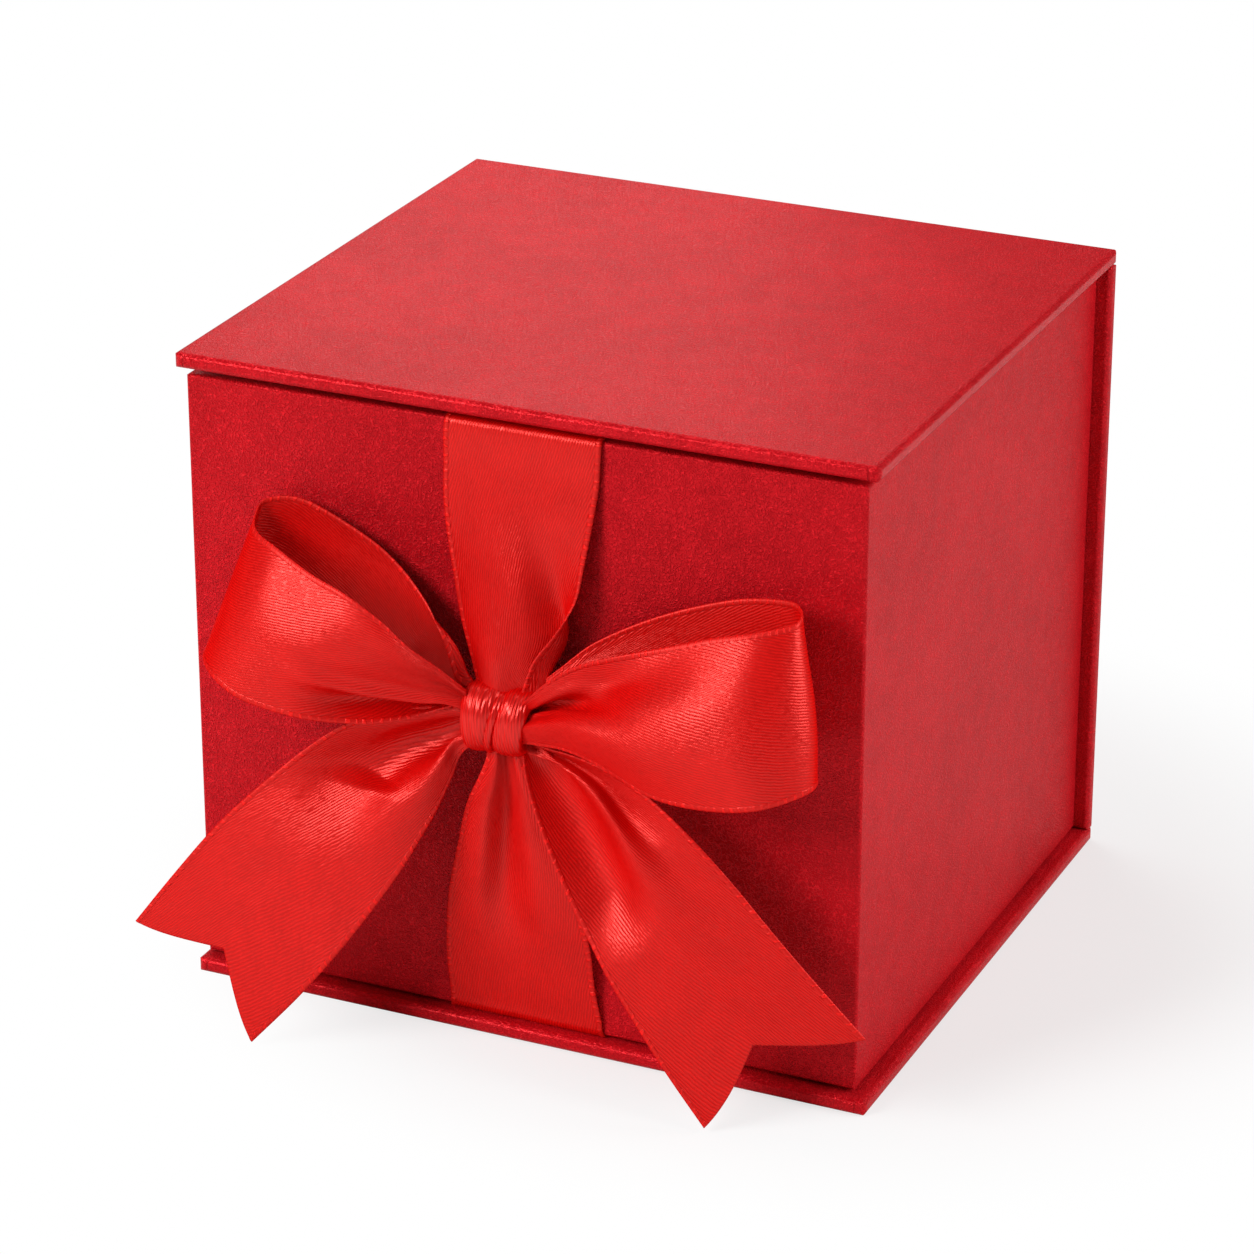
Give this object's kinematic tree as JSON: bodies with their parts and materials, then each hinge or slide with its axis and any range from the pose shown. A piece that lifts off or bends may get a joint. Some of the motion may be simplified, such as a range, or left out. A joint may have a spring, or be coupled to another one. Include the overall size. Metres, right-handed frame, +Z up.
{
  "type": "gift box",
  "caption": "Book-style rigid cardboard gift box covered in red paper, with a hinged lid and a satin ribbon tied in a bow on its front.",
  "frame": {"origin": "centre of the underside of the base, midway between the lid's front edge and the outer face of the back board", "axes": "+X to the right along the front, +Y towards the back board, +Z up"},
  "size_m": [0.1791, 0.1858, 0.1591],
  "materials": {
    "covering_paper": "deep red pearlescent paper with a fine pebbled grain",
    "lining_paper": "smooth matt red paper",
    "greyboard": "raw grey chipboard",
    "gummed_tape": "brown gummed kraft tape",
    "glue": "set animal glue",
    "satin_ribbon": "red polyester satin with woven edges"
  },
  "bodies": {
    "box": {"base_board": "greyboard", "back_board": "greyboard", "base_wrap": "covering_paper", "back_wrap": "covering_paper", "base_glue_pad": "glue", "back_glue_pad": "glue", "tray_floor_board": "greyboard", "tray_front_board": "greyboard", "tray_back_board": "greyboard", "tray_left_board": "greyboard", "tray_right_board": "greyboard", "corner_stay_front_left": "gummed_tape", "corner_stay_front_right": "gummed_tape", "corner_stay_back_left": "gummed_tape", "corner_stay_back_right": "gummed_tape", "tray_wrap": "covering_paper", "tray_wall_lining": "lining_paper", "tray_floor_lining": "lining_paper", "upper_strap": "satin_ribbon", "lower_strap": "satin_ribbon", "left_loop": "satin_ribbon", "right_loop": "satin_ribbon", "left_tail": "satin_ribbon", "right_tail": "satin_ribbon", "knot": "satin_ribbon"},
    "lid": {"lid_board": "greyboard", "lid_wrap": "covering_paper", "lid_lining": "lining_paper"}
  },
  "joints": [
    {"name": "lid_hinge", "type": "hinge", "parent": "box", "child": "lid", "pos_m": [0, 0.0788, 0.1553], "axis": [-1, 0, 0], "range_deg": [0, 180]}
  ]
}
